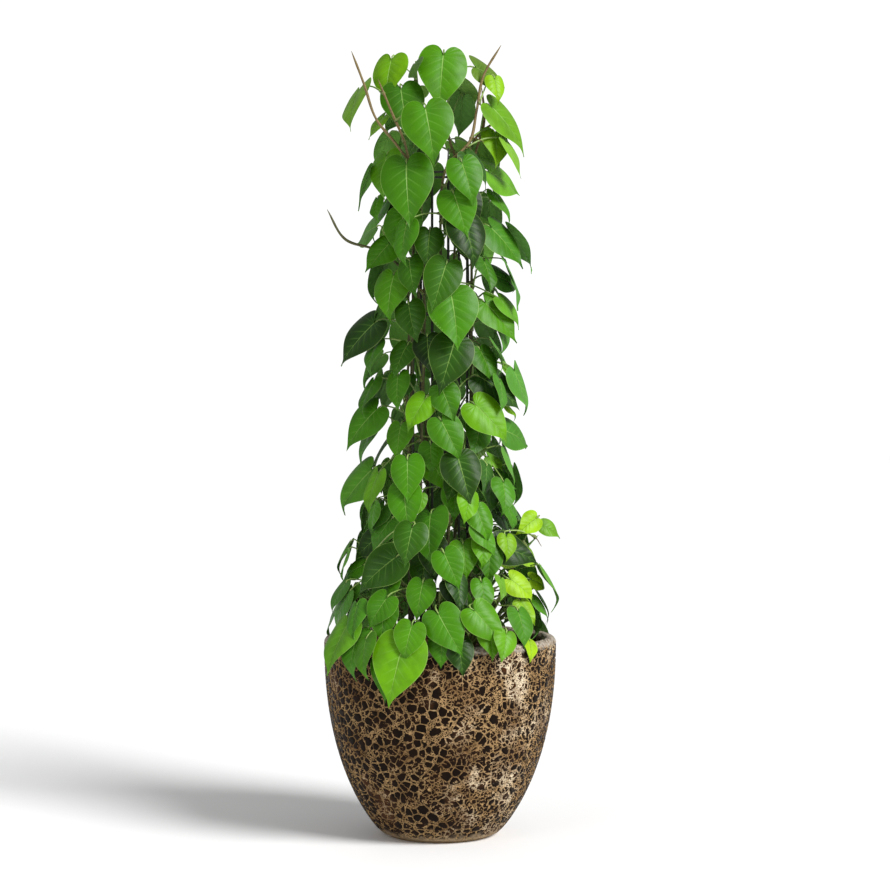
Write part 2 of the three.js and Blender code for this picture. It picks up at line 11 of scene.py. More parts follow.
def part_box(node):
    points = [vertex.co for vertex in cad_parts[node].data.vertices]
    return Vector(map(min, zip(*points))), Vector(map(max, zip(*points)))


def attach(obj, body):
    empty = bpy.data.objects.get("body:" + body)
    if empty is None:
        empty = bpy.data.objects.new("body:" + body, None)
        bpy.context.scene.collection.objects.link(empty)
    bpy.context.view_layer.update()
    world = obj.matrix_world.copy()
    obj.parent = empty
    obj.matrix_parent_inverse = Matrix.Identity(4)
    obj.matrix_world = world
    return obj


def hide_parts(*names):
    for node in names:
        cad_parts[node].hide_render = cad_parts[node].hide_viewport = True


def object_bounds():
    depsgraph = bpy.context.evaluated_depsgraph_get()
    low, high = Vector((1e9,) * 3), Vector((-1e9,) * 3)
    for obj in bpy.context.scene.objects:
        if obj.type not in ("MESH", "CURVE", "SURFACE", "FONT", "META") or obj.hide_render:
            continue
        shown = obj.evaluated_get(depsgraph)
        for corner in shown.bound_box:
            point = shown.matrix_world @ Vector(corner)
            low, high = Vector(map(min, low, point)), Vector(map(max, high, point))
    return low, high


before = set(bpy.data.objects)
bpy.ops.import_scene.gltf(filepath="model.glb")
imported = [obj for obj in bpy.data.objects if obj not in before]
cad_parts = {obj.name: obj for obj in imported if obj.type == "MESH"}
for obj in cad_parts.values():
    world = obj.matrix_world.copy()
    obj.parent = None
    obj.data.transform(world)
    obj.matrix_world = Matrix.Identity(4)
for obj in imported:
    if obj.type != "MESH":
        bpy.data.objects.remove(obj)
cad_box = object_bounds()
MM = 0.001
random = np.random.default_rng(7)

VINES = [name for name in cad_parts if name.startswith(("vine_", "shoot_"))]
WIRES = [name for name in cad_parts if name.startswith("column_")]
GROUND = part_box("planter")[0][2]
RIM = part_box("planter")[1][2]
RIM_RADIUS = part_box("planter")[1][0]
MIX_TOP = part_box("potting_mix")[1][2]
TOP = cad_box[1][2]
EYE, LOOKED_AT = Vector((0.0085, -3.7, 0.74)), Vector((0.0085, 0, 0.673))
AMBIENT, BACKDROP = 0.4, 1.05  # how bright the white room is on the plant, and behind it
KEY_STRENGTH = 4.2


# ---- camera, lights and floor ----

def set_the_stage():
    scene = bpy.context.scene
    camera = bpy.data.objects.new("camera", bpy.data.cameras.new("camera"))
    scene.collection.objects.link(camera)
    camera.location = EYE
    aim = LOOKED_AT - camera.location
    camera.rotation_euler = aim.to_track_quat("-Z", "Y").to_euler()
    camera.data.lens = 86.5
    scene.camera = camera
    scene.view_settings.view_transform = "Standard"

    world = bpy.data.worlds.new("studio")
    world.use_nodes = True
    tree = world.node_tree
    background = tree.nodes["Background"]
    background.inputs["Color"].default_value = (1, 1, 1, 1)
    seen = tree.nodes.new("ShaderNodeLightPath").outputs["Is Camera Ray"]
    plug(tree, background.inputs["Strength"], blend(tree, seen, AMBIENT, BACKDROP))
    scene.world = world

    key = add_light("key", "SUN", (2.3, -1.7, 2.7), KEY_STRENGTH)
    key.angle = math.radians(26)
    fill = add_light("fill", "AREA", (-2.6, -3.2, 1.7), 26)
    fill.shape = "DISK"
    fill.size = 1.8

    corners = [(x, y, GROUND) for x, y in ((-30, -30), (30, -30), (30, 30), (-30, 30))]
    floor = mesh_object("floor", corners, [(0, 1, 2, 3)])
    floor.data.materials.append(floor_material())


def add_light(name, kind, place, energy):
    light = bpy.data.objects.new(name, bpy.data.lights.new(name, kind))
    light.data.energy = energy
    light.location = place
    away = Vector((0, 0, TOP * 0.45)) - light.location
    light.rotation_euler = away.to_track_quat("-Z", "Y").to_euler()
    bpy.context.scene.collection.objects.link(light)
    return light.data


# ---- meshes ----

def mesh_object(name, points, faces):
    mesh = bpy.data.meshes.new(name)
    mesh.from_pydata([tuple(p) for p in points], [], [tuple(f) for f in faces])
    mesh.validate()
    mesh.shade_smooth()
    piece = bpy.data.objects.new(name, mesh)
    bpy.context.scene.collection.objects.link(piece)
    return piece


def give(piece, name, vectors):
    """Stores a vector for each point of the piece's mesh."""
    attribute = piece.data.attributes.new(name, "FLOAT_VECTOR", "POINT")
    attribute.data.foreach_set("vector", np.asarray(vectors, dtype=np.float32).ravel())


def finish_piece(piece, material, slot, *nodes):
    piece.data.materials.append(material)
    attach(piece, "root")
    if nodes:
        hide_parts(*nodes)


def joined(parts):
    """Several (points, faces) as one."""
    points = np.concatenate([np.asarray(p, dtype=float) for p, _ in parts])
    faces, start = [], 0
    for p, f in parts:
        faces += [tuple(i + start for i in face) for face in f]
        start += len(p)
    return points, faces


def smooth_line(points, step):
    """A Catmull-Rom line through the points, resampled about every step."""
    points = np.asarray(points, dtype=float)
    ends = [2 * points[0] - points[1], *points, 2 * points[-1] - points[-2]]
    fine = []
    for a, b, c, d in zip(ends, ends[1:], ends[2:], ends[3:]):
        count = max(2, int(np.linalg.norm(c - b) / step) + 1)
        for t in np.arange(count) / count:
            fine.append(0.5 * (2 * b + (c - a) * t + (2 * a - 5 * b + 4 * c - d) * t**2
                               + (3 * b - a - 3 * c + d) * t**3))
    return np.array([*fine, points[-1]])


def tube(line, radii, sides=8):
    """A closed tube along a line, with a radius at each of its points."""
    line = np.asarray(line, dtype=float)
    ways = np.gradient(line, axis=0)
    ways /= np.linalg.norm(ways, axis=1)[:, None] + 1e-12
    helper = np.array((0, 0, 1.0)) if abs(ways[0][2]) < 0.8 else np.array((1.0, 0, 0))
    side = np.cross(ways[0], helper)
    rings = []
    for centre, way, radius in zip(line, ways, radii):
        side = side - way * side.dot(way)
        side /= np.linalg.norm(side)
        other = np.cross(way, side)
        for k in range(sides):
            angle = 2 * math.pi * k / sides
            rings.append(centre + radius * (math.cos(angle) * side + math.sin(angle) * other))
    faces = []
    for i in range(len(line) - 1):
        for k in range(sides):
            a, b = i * sides + k, i * sides + (k + 1) % sides
            faces.append((a, b, b + sides, a + sides))
    faces.append(tuple(range(sides - 1, -1, -1)))
    last = (len(line) - 1) * sides
    faces.append(tuple(range(last, last + sides)))
    return np.array(rings), faces


# ---- reading the leaves and stems back from the frame ----

RIM_POINTS = 11  # on a blade's rim in the frame, from one side of the petiole round to the other
TIP, WIDE_LEFT, WIDE_RIGHT = 5, 2, 8
WIDE = 0.98  # how much of half the width those two stand out


def welded(node):
    bm = bmesh.new()
    bm.from_mesh(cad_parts[node].data)
    bmesh.ops.remove_doubles(bm, verts=bm.verts, dist=0.02 * MM)
    bm.normal_update()
    return bm


def neighbours(vertex):
    return {edge.other_vert(vertex) for edge in vertex.link_edges}


def rim_chains(bm):
    """The rows of vertices along edges where a blade's two faces meet back to back."""
    rims = {}
    for edge in bm.edges:
        if len(edge.link_faces) == 2:
            a, b = (face.normal for face in edge.link_faces)
            if a.dot(b) < -0.85:
                for vertex in edge.verts:
                    rims.setdefault(vertex, []).append(edge.other_vert(vertex))
    for start in [v for v, linked in rims.items() if len(linked) == 1]:
        chain = [start]
        while True:
            onward = [v for v in rims[chain[-1]] if v not in chain[-2:]]
            if not onward or len(chain) > RIM_POINTS:
                break
            chain.append(onward[0])
        if len(chain) == RIM_POINTS and chain[0].index < chain[-1].index:
            yield chain


def middle(vertices):
    return sum((v.co for v in vertices), Vector()) / len(vertices)


def read_leaf(chain):
    """One leaf's own directions and sizes, and the points that its petiole runs through."""
    ends = [chain[0], chain[-1]]
    base = middle(ends)
    under = min(neighbours(ends[0]) & neighbours(ends[1]), key=lambda v: (v.co - base).length)
    across = chain[WIDE_RIGHT].co - chain[WIDE_LEFT].co
    along = chain[TIP].co - base
    face = along.cross(across).normalized()
    if face.dot(base - under.co) < 0:
        across, face = -across, -face
    sinus = {*ends, under}
    blade = set(chain)
    for vertex in chain[1:-1]:
        blade |= neighbours(vertex)
    arch = set().union(*(neighbours(v) for v in sinus)) - sinus - blade
    stalk = set().union(*(neighbours(v) for v in arch)) - arch - sinus - blade
    return {
        "base": np.array(base), "along": np.array(along.normalized()), "face": np.array(face),
        "across": np.array(across.normalized()), "reach": along.length,
        "half": across.length / 2 / WIDE,
        "arch": np.array(middle(arch)), "stalk": np.array(middle(stalk or arch)),
    }


def read_stem(bm):
    """The middle line of a vine's four-sided stem, from its lowest ring of corners to its free end."""
    square = {}
    for vertex in bm.verts:
        close = [v for v in bm.verts if 0.1 * MM < (v.co - vertex.co).length < 6.2 * MM]
        gaps = sorted((v.co - vertex.co).length / MM for v in close)
        if len(gaps) == 3 and abs(gaps[0] - 4.24) < 0.4 and abs(gaps[2] - 6) < 0.2:
            centre = middle([vertex, *close])
            square[tuple(round(c / MM) for c in centre)] = np.array(centre)
    left = sorted(square.values(), key=lambda p: p[2])
    line = [left.pop(0)]
    while left:
        nearest = min(range(len(left)), key=lambda i: np.linalg.norm(left[i] - line[-1]))
        point = left.pop(nearest)
        if np.linalg.norm(point - line[-1]) > 10 * MM:
            line.append(point)
    return line


# ---- shader helpers ----

def material(name):
    made = bpy.data.materials.new(name)
    made.use_nodes = True
    return made, made.node_tree, made.node_tree.nodes["Principled BSDF"]


def node(tree, kind, *inputs, **settings):
    """Adds a node, sets its properties, and fills its inputs in order from sockets or values."""
    made = tree.nodes.new(kind)
    for key, value in settings.items():
        setattr(made, key, value)
    for socket, value in zip(made.inputs, inputs):
        plug(tree, socket, value)
    return made


def plug(tree, socket, value):
    if value is None:
        return
    if isinstance(value, bpy.types.NodeSocket):
        tree.links.new(value, socket)
    else:
        socket.default_value = value


def maths(tree, operation, a, b=None, c=None):
    return node(tree, "ShaderNodeMath", a, b, c, operation=operation).outputs[0]


def ramp(tree, value, low, high, to_low=0.0, to_high=1.0):
    """A smooth step of value from low to high."""
    inputs = (value, low, high, to_low, to_high)
    made = node(tree, "ShaderNodeMapRange", *inputs, interpolation_type="SMOOTHSTEP")
    return made.outputs["Result"]


def mixed(tree, share, a, b):
    made = tree.nodes.new("ShaderNodeMix")
    made.data_type = "RGBA"
    for name, value in (("Factor", share), ("A", a), ("B", b)):
        socket = next(s for s in made.inputs if s.name == name and s.enabled)
        plug(tree, socket, value)
    return next(s for s in made.outputs if s.enabled)


def blend(tree, share, a, b):
    """A number between a and b."""
    return maths(tree, "ADD", a, maths(tree, "MULTIPLY", share, maths(tree, "SUBTRACT", b, a)))


def noise(tree, where, scale, detail=2.0, roughness=0.5):
    made = tree.nodes.new("ShaderNodeTexNoise")
    plug(tree, made.inputs["Vector"], where)
    made.inputs["Scale"].default_value = scale
    made.inputs["Detail"].default_value = detail
    made.inputs["Roughness"].default_value = roughness
    return next(s for s in made.outputs if s.type == "VALUE")


def cells(tree, where, scale, feature):
    made = tree.nodes.new("ShaderNodeTexVoronoi")
    made.feature = feature
    plug(tree, made.inputs["Vector"], where)
    made.inputs["Scale"].default_value = scale
    return made.outputs


def bump(tree, shader, height, depth):
    made = tree.nodes.new("ShaderNodeBump")
    made.inputs["Distance"].default_value = depth
    plug(tree, made.inputs["Height"], height)
    tree.links.new(made.outputs[0], shader.inputs["Normal"])


def places(tree):
    return tree.nodes.new("ShaderNodeTexCoord").outputs["Object"]


def stored(tree, name):
    """The three numbers of a stored vector."""
    attribute = node(tree, "ShaderNodeAttribute", attribute_name=name)
    return node(tree, "ShaderNodeSeparateXYZ", attribute.outputs["Vector"]).outputs


def colour(code):
    """A linear colour from a six-digit code."""
    parts = [int(code[i:i + 2], 16) / 255 for i in (0, 2, 4)]
    return (*(c / 12.92 if c < 0.04045 else ((c + 0.055) / 1.055) ** 2.4 for c in parts), 1)


# ---- materials ----

def floor_material():
    made, tree, shader = material("floor")
    shader.inputs["Roughness"].default_value = 0.6
    tone = mixed(tree, noise(tree, places(tree), 1.5), (0.93, 0.93, 0.93, 1), (0.95, 0.95, 0.95, 1))
    plug(tree, shader.inputs["Base Color"], tone)
    return made


def leaf_material():
    """Green blades. Stored per point: blade = place along the outline, place from midrib to margin,
    and 1 on the back; look = tone with painted light and shade, youth with painted backlight, and
    painted sheen of the whole leaf."""
    made, tree, shader = material("leaf")
    row, out, back = stored(tree, "blade")
    painted_light_and_tone, youth_and_backlight, painted_sheen = stored(tree, "look")
    where = places(tree)

    # Painted shade and light: leaves deep in the foliage get the dark greens, outer, upturned and top
    # leaves the light ones.
    tone = mixed(tree, ramp(tree, painted_light_and_tone, 0.0, 0.5), colour("122703"), colour("3d7604"))
    tone = mixed(tree, ramp(tree, painted_light_and_tone, 0.5, 1.0), tone, colour("74ac06"))
    # Lime green for young leaves, and painted backlight on the leaves at the top of the plant.
    tone = mixed(tree, youth_and_backlight, tone, colour("a0c80c"))
    # Painted sheen: a bluish reflection of the white room on leaves turned sideways.
    tone = mixed(tree, painted_sheen, tone, colour("5f9550"))
    blotch = noise(tree, where, 38, 3)
    tone = mixed(tree, ramp(tree, blotch, 0.35, 0.75, 0.0, 0.35), tone, colour("2a4f03"))
    heart = ramp(tree, out, 0.0, 0.7, 1.0, 0.0)
    heart = maths(tree, "MULTIPLY", heart, ramp(tree, row, 0.0, 0.9, 1.0, 0.3))
    tone = mixed(tree, maths(tree, "MULTIPLY", heart, 0.2), tone, colour("4a9030"))

    midrib = ramp(tree, out, 0.0, 0.045, 1.0, 0.0)
    wave = maths(tree, "MULTIPLY", row, 11.0)
    wave = maths(tree, "ADD", wave, maths(tree, "MULTIPLY", out, -0.35))
    line = maths(tree, "ABSOLUTE", maths(tree, "SUBTRACT", maths(tree, "FRACT", wave), 0.5))
    lateral = ramp(tree, line, 0.0, 0.13, 1.0, 0.0)
    lateral = maths(tree, "MULTIPLY", lateral, ramp(tree, out, 0.05, 0.9, 1.0, 0.0))
    tone = mixed(tree, maths(tree, "MULTIPLY", midrib, 0.5), tone, colour("9cc260"))
    tone = mixed(tree, maths(tree, "MULTIPLY", lateral, 0.2), tone, colour("86b552"))
    margin = ramp(tree, out, 0.965, 0.995)
    tone = mixed(tree, maths(tree, "MULTIPLY", margin, 0.25), tone, colour("b7d779"))
    tone = mixed(tree, maths(tree, "MULTIPLY", back, 0.45), tone, colour("7fb45c"))
    plug(tree, shader.inputs["Base Color"], tone)

    gloss = maths(tree, "MULTIPLY_ADD", blotch, 0.16, 0.34)
    gloss = maths(tree, "MULTIPLY_ADD", back, 0.25, gloss)
    plug(tree, shader.inputs["Roughness"], gloss)
    shader.inputs["Specular IOR Level"].default_value = 0.17
    quilt = maths(tree, "MULTIPLY", ramp(tree, line, 0.0, 0.5), 0.3)
    relief = maths(tree, "SUBTRACT", quilt, maths(tree, "MULTIPLY", midrib, 0.9))
    relief = maths(tree, "ADD", relief, maths(tree, "MULTIPLY", noise(tree, where, 420, 2), 0.25))
    bump(tree, shader, relief, 0.9 * MM)
    return made


def stem_material():
    """Stems and petioles. Stored per point: stem = wood (1) or green (0), and paleness."""
    made, tree, shader = material("stem")
    woody, pale, _ = stored(tree, "stem")
    where = places(tree)
    grain = noise(tree, where, 260, 4, 0.65)
    green = mixed(tree, pale, colour("4a7420"), colour("a4c468"))
    brown = mixed(tree, pale, colour("47301a"), colour("7c6a38"))
    tone = mixed(tree, woody, green, brown)
    tone = mixed(tree, ramp(tree, grain, 0.45, 0.75, 0.0, 0.6), tone, colour("2c1e10"))
    plug(tree, shader.inputs["Base Color"], tone)
    plug(tree, shader.inputs["Roughness"], maths(tree, "MULTIPLY_ADD", woody, 0.2, 0.42))
    bump(tree, shader, grain, 0.6 * MM)
    return made


def wire_material():
    made, tree, shader = material("coated_wire")
    speck = noise(tree, places(tree), 500, 3)
    tone = mixed(tree, ramp(tree, speck, 0.4, 0.7), colour("1b2216"), colour("323b26"))
    plug(tree, shader.inputs["Base Color"], tone)
    plug(tree, shader.inputs["Roughness"], maths(tree, "MULTIPLY_ADD", speck, 0.3, 0.35))
    bump(tree, shader, speck, 0.2 * MM)
    return made


def mix_material():
    made, tree, shader = material("potting_mix")
    where = places(tree)
    crumb = cells(tree, where, 220, "F1")
    tone = mixed(tree, crumb["Color"], colour("21160e"), colour("4d3826"))
    tone = mixed(tree, ramp(tree, noise(tree, where, 90, 4), 0.5, 0.7), tone, colour("6b4f36"))
    plug(tree, shader.inputs["Base Color"], tone)
    shader.inputs["Roughness"].default_value = 0.95
    bump(tree, shader, noise(tree, where, 500, 5, 0.7), 2 * MM)
    return made


BLISTER_SIZES = (14.5 * MM, 8.5 * MM, 5 * MM, 3.4 * MM)


def blisters(tree, where):
    """The glaze's pattern, for the shader and for the mesh alike: how far inside a blister each point
    is (0 on a seam, 1 on a blister), and where pale glaze has run."""
    drift = tree.nodes.new("ShaderNodeTexNoise")
    plug(tree, drift.inputs["Vector"], where)
    drift.inputs["Scale"].default_value = 60
    shift = next(s for s in drift.outputs if s.type == "RGBA")
    moved = node(tree, "ShaderNodeVectorMath", shift, (0.5, 0.5, 0.5), operation="SUBTRACT").outputs[0]
    scaled = tree.nodes.new("ShaderNodeVectorMath")
    scaled.operation = "SCALE"
    plug(tree, scaled.inputs[0], moved)
    scaled.inputs["Scale"].default_value = 5 * MM
    bent = node(tree, "ShaderNodeVectorMath", where, scaled.outputs[0], operation="ADD").outputs[0]

    across = node(tree, "ShaderNodeSeparateXYZ", where).outputs[0]
    right = ramp(tree, across, -0.13, 0.15, -0.1, 0.03)
    pale = maths(tree, "ADD", noise(tree, where, 16, 5, 0.65), right)
    pale = ramp(tree, pale, 0.48, 0.72)

    edges = []
    for size in BLISTER_SIZES:
        edge = cells(tree, bent, 1 / size, "DISTANCE_TO_EDGE")["Distance"]
        centre = cells(tree, bent, 1 / size, "F1")["Distance"]
        corner = maths(tree, "MAXIMUM", maths(tree, "SUBTRACT", centre, 0.4), 0.0)
        rounding = maths(tree, "MULTIPLY", corner, 0.26)
        shrink = maths(tree, "ADD", rounding, maths(tree, "MULTIPLY", pale, 0.11))
        edges.append(maths(tree, "MULTIPLY", maths(tree, "SUBTRACT", edge, shrink), size))
    region = maths(tree, "ADD", noise(tree, where, 40, 3, 0.6), maths(tree, "MULTIPLY", right, 0.7))
    edge = blend(tree, ramp(tree, region, 0.5, 0.52), edges[0], edges[1])
    edge = blend(tree, ramp(tree, region, 0.6, 0.62), edge, edges[2])
    small = maths(tree, "MULTIPLY", ramp(tree, edges[3], 0.15 * MM, 0.4 * MM),
                  ramp(tree, edge, -0.7 * MM, -0.35 * MM, 1.0, 0.0))
    inside = maths(tree, "MAXIMUM", ramp(tree, edge, 0.2 * MM, 0.65 * MM), small)
    return inside, pale


def glaze_material():
    made, tree, shader = material("lava_glaze")
    where = places(tree)
    blister, pale = blisters(tree, where)

    grain = noise(tree, where, 600, 3, 0.6)
    mottle = ramp(tree, noise(tree, where, 40, 3), 0.35, 0.7)
    dark = mixed(tree, mottle, colour("120a05"), colour("24150b"))
    rust = ramp(tree, noise(tree, where, 16, 3), 0.56, 0.72, 0.0, 0.7)
    dark = mixed(tree, rust, dark, colour("4a2c15"))
    light = mixed(tree, pale, colour("a98a60"), colour("d6c6aa"))
    light = mixed(tree, ramp(tree, grain, 0.5, 0.8, 0.0, 0.6), light, colour("6f4e2c"))
    shade = ramp(tree, noise(tree, where, 19, 4, 0.6), 0.42, 0.66, 0.0, 0.65)
    light = mixed(tree, shade, light, colour("5c3e20"))
    tone = mixed(tree, blister, light, dark)
    speck = maths(tree, "MULTIPLY", ramp(tree, noise(tree, where, 220, 4, 0.7), 0.56, 0.66), 0.4)
    tone = mixed(tree, maths(tree, "MULTIPLY", speck, pale), tone, colour("cdbb9c"))
    height = node(tree, "ShaderNodeSeparateXYZ", where).outputs[2]
    foot = maths(tree, "ADD", height, maths(tree, "MULTIPLY", noise(tree, where, 60, 3), 0.03))
    worn = ramp(tree, foot, GROUND + 0.02, GROUND + 0.034, 0.75, 0.0)
    tone = mixed(tree, worn, tone, colour("a08a6c"))
    lip = maths(tree, "ADD", height, maths(tree, "MULTIPLY", noise(tree, where, 120, 4), -0.014))
    worn_lip = ramp(tree, lip, RIM - 0.022, RIM - 0.012, 0.0, 0.8)
    fleck = ramp(tree, noise(tree, where, 260, 4), 0.4, 0.7)
    chalk = mixed(tree, fleck, colour("b9b0a2"), colour("6b5a49"))
    tone = mixed(tree, worn_lip, tone, chalk)
    plug(tree, shader.inputs["Base Color"], tone)
    plug(tree, shader.inputs["Roughness"], blend(tree, blister, 0.75, 0.42))
    shader.inputs["Specular IOR Level"].default_value = 0.05  # a dull glaze
    relief = maths(tree, "ADD", blister, maths(tree, "MULTIPLY", grain, 0.25))
    bump(tree, shader, relief, 0.9 * MM)
    return made


# ---- the planter, the mix and the wires ----

FOOT_RADIUS, STEEPNESS, FULLNESS, WALL = 94 * MM, 2.35, 0.8, 20 * MM
INSIDE_DEPTH = 60 * MM  # how far down the wall's inside is shown, below the mix's surface
AROUND = 420


def planter_radius(z):
    climb = np.clip(1 - (1 - z / RIM) ** STEEPNESS, 0, 1) ** FULLNESS
    return FOOT_RADIUS + (RIM_RADIUS - FOOT_RADIUS) * climb


def planter_profile():
    """Radius and height from the middle of the base, up the outside, over the lip and down inside."""
    profile = [(0, 0), (0.5 * FOOT_RADIUS, 0), (FOOT_RADIUS - 5 * MM, 0)]
    for angle in np.linspace(-80, -10, 4):
        a = math.radians(angle)
        profile.append((FOOT_RADIUS - 5 * MM + 5 * MM * math.cos(a), 5 * MM + 5 * MM * math.sin(a)))
    lip = WALL / 2
    for z in np.linspace(6 * MM, RIM - lip, 186):
        profile.append((planter_radius(z), z))
    centre = planter_radius(RIM - lip) - lip
    for angle in np.linspace(12, 168, 16):
        a = math.radians(angle)
        profile.append((centre + lip * math.cos(a), RIM - lip + lip * math.sin(a)))
    for z in np.linspace(RIM - lip, RIM - lip - INSIDE_DEPTH, 8):
        profile.append((planter_radius(z) - WALL, z))
    profile.append((0, RIM - lip - INSIDE_DEPTH))
    return profile


def turned(profile, around):
    points, faces = [], []
    rows = len(profile)
    for r, z in profile:
        for k in range(around):
            angle = 2 * math.pi * k / around
            points.append((r * math.cos(angle), r * math.sin(angle), z))
    for i in range(rows - 1):
        for k in range(around):
            a, b = i * around + k, i * around + (k + 1) % around
            faces.append((a, b, b + around, a + around))
    return points, faces


def raised_blisters(piece):
    """Moves the glazed surface out by the shader's own pattern, and keeps the result."""
    tree = bpy.data.node_groups.new("raised", "GeometryNodeTree")
    tree.interface.new_socket("Geometry", in_out="INPUT", socket_type="NodeSocketGeometry")
    tree.interface.new_socket("Geometry", in_out="OUTPUT", socket_type="NodeSocketGeometry")
    start, end = tree.nodes.new("NodeGroupInput"), tree.nodes.new("NodeGroupOutput")
    where = tree.nodes.new("GeometryNodeInputPosition").outputs[0]
    inside, _ = blisters(tree, where)
    height = blend(tree, inside, -1.0 * MM, 0.8 * MM)
    x, y, z = node(tree, "ShaderNodeSeparateXYZ", where).outputs
    height = maths(tree, "MULTIPLY", height, ramp(tree, z, 2 * MM, 16 * MM))
    normal = tree.nodes.new("GeometryNodeInputNormal").outputs[0]
    move = tree.nodes.new("ShaderNodeVectorMath")
    move.operation = "SCALE"
    plug(tree, move.inputs[0], normal)
    plug(tree, move.inputs["Scale"], height)
    place = tree.nodes.new("GeometryNodeSetPosition")
    tree.links.new(start.outputs[0], place.inputs["Geometry"])
    tree.links.new(move.outputs[0], place.inputs["Offset"])
    tree.links.new(place.outputs[0], end.inputs[0])
    modifier = piece.modifiers.new("raised", "NODES")
    modifier.node_group = tree
    shaped = piece.evaluated_get(bpy.context.evaluated_depsgraph_get())
    mesh = bpy.data.meshes.new_from_object(shaped)
    piece.modifiers.clear()
    piece.data = mesh


def make_planter():
    piece = mesh_object("glazed_planter", *turned(planter_profile(), AROUND))
    bm = bmesh.new()
    bm.from_mesh(piece.data)
    bmesh.ops.remove_doubles(bm, verts=bm.verts, dist=0.001 * MM)
    bmesh.ops.recalc_face_normals(bm, faces=bm.faces)
    bm.to_mesh(piece.data)
    bm.free()
    raised_blisters(piece)
    finish_piece(piece, glaze_material(), "glaze", "planter")


def make_mix():
    """The crumbly surface, closed below by a skirt inside the wall, and loose bark on it."""
    radius = planter_radius(MIX_TOP - 4 * MM) - WALL - 1 * MM
    points, rows, around = [], 44, 150
    for i in range(rows + 1):
        r = radius * i / rows
        for k in range(around):
            angle = 2 * math.pi * k / around
            x, y = r * math.cos(angle), r * math.sin(angle)
            lump = 3 * MM * math.sin(41 * x + 3 * math.sin(57 * y)) + 1.2 * MM * random.standard_normal()
            points.append((x, y, MIX_TOP - 5 * MM + lump))
    faces = turned([(0, 0)] * (rows + 1), around)[1]
    chips = []
    for _ in range(420):
        angle, r = random.uniform(0, 2 * math.pi), radius * math.sqrt(random.uniform(0.02, 0.95))
        centre = np.array((r * math.cos(angle), r * math.sin(angle), MIX_TOP - 2 * MM))
        chips.append(bark_chip(centre, random.uniform(4, 13) * MM))
    depth = MIX_TOP - 40 * MM
    skirt = turned([(radius, MIX_TOP - 6 * MM), (radius - 6 * MM, depth), (0, depth)], around)
    piece = mesh_object("bark_and_peat", *joined([(points, faces), skirt, *chips]))
    finish_piece(piece, mix_material(), "mix", "potting_mix")


def bark_chip(centre, size):
    """An uneven flat lump with eight corners, turned any way."""
    corners = np.array([(x, y, z) for x in (-1, 1) for y in (-1, 1) for z in (-1, 1)], dtype=float)
    corners *= np.array((1, random.uniform(0.4, 0.8), random.uniform(0.15, 0.35))) * size / 2
    corners *= random.uniform(0.7, 1.2, (8, 3))
    turn, tip = random.uniform(0, 2 * math.pi), random.uniform(-0.5, 0.5)
    turned_round = np.array(Matrix.Rotation(turn, 3, "Z"))
    tipped = np.array(Matrix.Rotation(tip, 3, "X"))
    faces = [(0, 1, 3, 2), (4, 6, 7, 5), (0, 4, 5, 1), (2, 3, 7, 6), (0, 2, 6, 4), (1, 5, 7, 3)]
    return corners @ (turned_round @ tipped).T + centre, faces


HIDDEN_WIRE = 160 * MM  # the length at an upright's foot that stands unseen in the mix


def make_column():
    """Round coated wires where the frame has its plain ones."""
    parts = []
    for name in WIRES:
        low, high = (np.array(corner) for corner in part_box(name))
        centre = (low + high) / 2
        if name.startswith("column_upright"):
            bottom = low[2] + HIDDEN_WIRE
            line = np.linspace((*centre[:2], bottom), (*centre[:2], high[2]), 60)
            radii = np.full(60, 2.4 * MM)
            radii[-3:] = (2.2 * MM, 1.6 * MM, 0.8 * MM)
            parts.append(tube(line, radii, 10))
        else:
            radius = (high[0] - low[0]) / 2 - 2 * MM
            ring = [centre + radius * np.array((math.cos(a), math.sin(a), 0))
                    for a in np.linspace(0, 2 * math.pi, 97)]
            parts.append(tube(ring, np.full(97, 2 * MM), 8))
    piece = mesh_object("wire_column", *joined(parts))
    finish_piece(piece, wire_material(), "wire", *WIRES)


# ---- leaves ----

BULGE, EDGE_DROP = 0.055, 0.1  # the same as the frame's blades
FOLD = 0.3  # how far each half rises from the sunk midrib before it falls to the margin
THICKNESS = 0.5 * MM
ROWS, COLUMNS = 30, 7  # a blade's grid: round the outline, and from midrib to margin

# Half of the blade's outline from the petiole round a lobe to the drip tip: along (0 at the petiole,
# 1 at the tip) and across (1 at the widest).
OUTLINE = [
    (0.0, 0.02), (-0.085, 0.10), (-0.15, 0.26), (-0.17, 0.46), (-0.13, 0.70), (-0.03, 0.88),
    (0.12, 0.985), (0.30, 0.975), (0.48, 0.80), (0.64, 0.54), (0.78, 0.27), (0.88, 0.10),
    (0.95, 0.035), (1.0, 0.0),
]
FAN = 0.46  # up to this share of the outline the veins spring from the petiole itself


def blade_grid():
    """The flat blade: each grid point's place along and across, its row and its distance out."""
    edge = smooth_line([(u, t, 0) for u, t in OUTLINE], 0.01)
    steps = np.linalg.norm(np.diff(edge, axis=0), axis=1)
    length = np.concatenate([[0], np.cumsum(steps)])
    index = np.linspace(0, 1, len(edge))
    shares = np.linspace(0, 1, ROWS + 1)
    even = shares * 0.5 + np.interp(shares, length / length[-1], index) * 0.5
    grid = []
    for v in even:
        u_edge = np.interp(v, index, edge[:, 0])
        t_edge = np.interp(v, index, edge[:, 1])
        u_rib = 0.05 * v if v < FAN else 0.05 * FAN + (1 - 0.05 * FAN) * ((v - FAN) / (1 - FAN)) ** 1.15
        for k in range(-COLUMNS, COLUMNS + 1):
            w = abs(k) / COLUMNS
            bend = 0.05 * math.sin(math.pi * w) * (1 if v > FAN else 0)
            u = u_rib + (u_edge - u_rib) * (w + bend * 0.3) if w < 1 else u_edge
            grid.append((u, math.copysign(t_edge * w, k), v, w))
    return np.array(grid)


GRID = blade_grid()
WIDTH = 2 * COLUMNS + 1


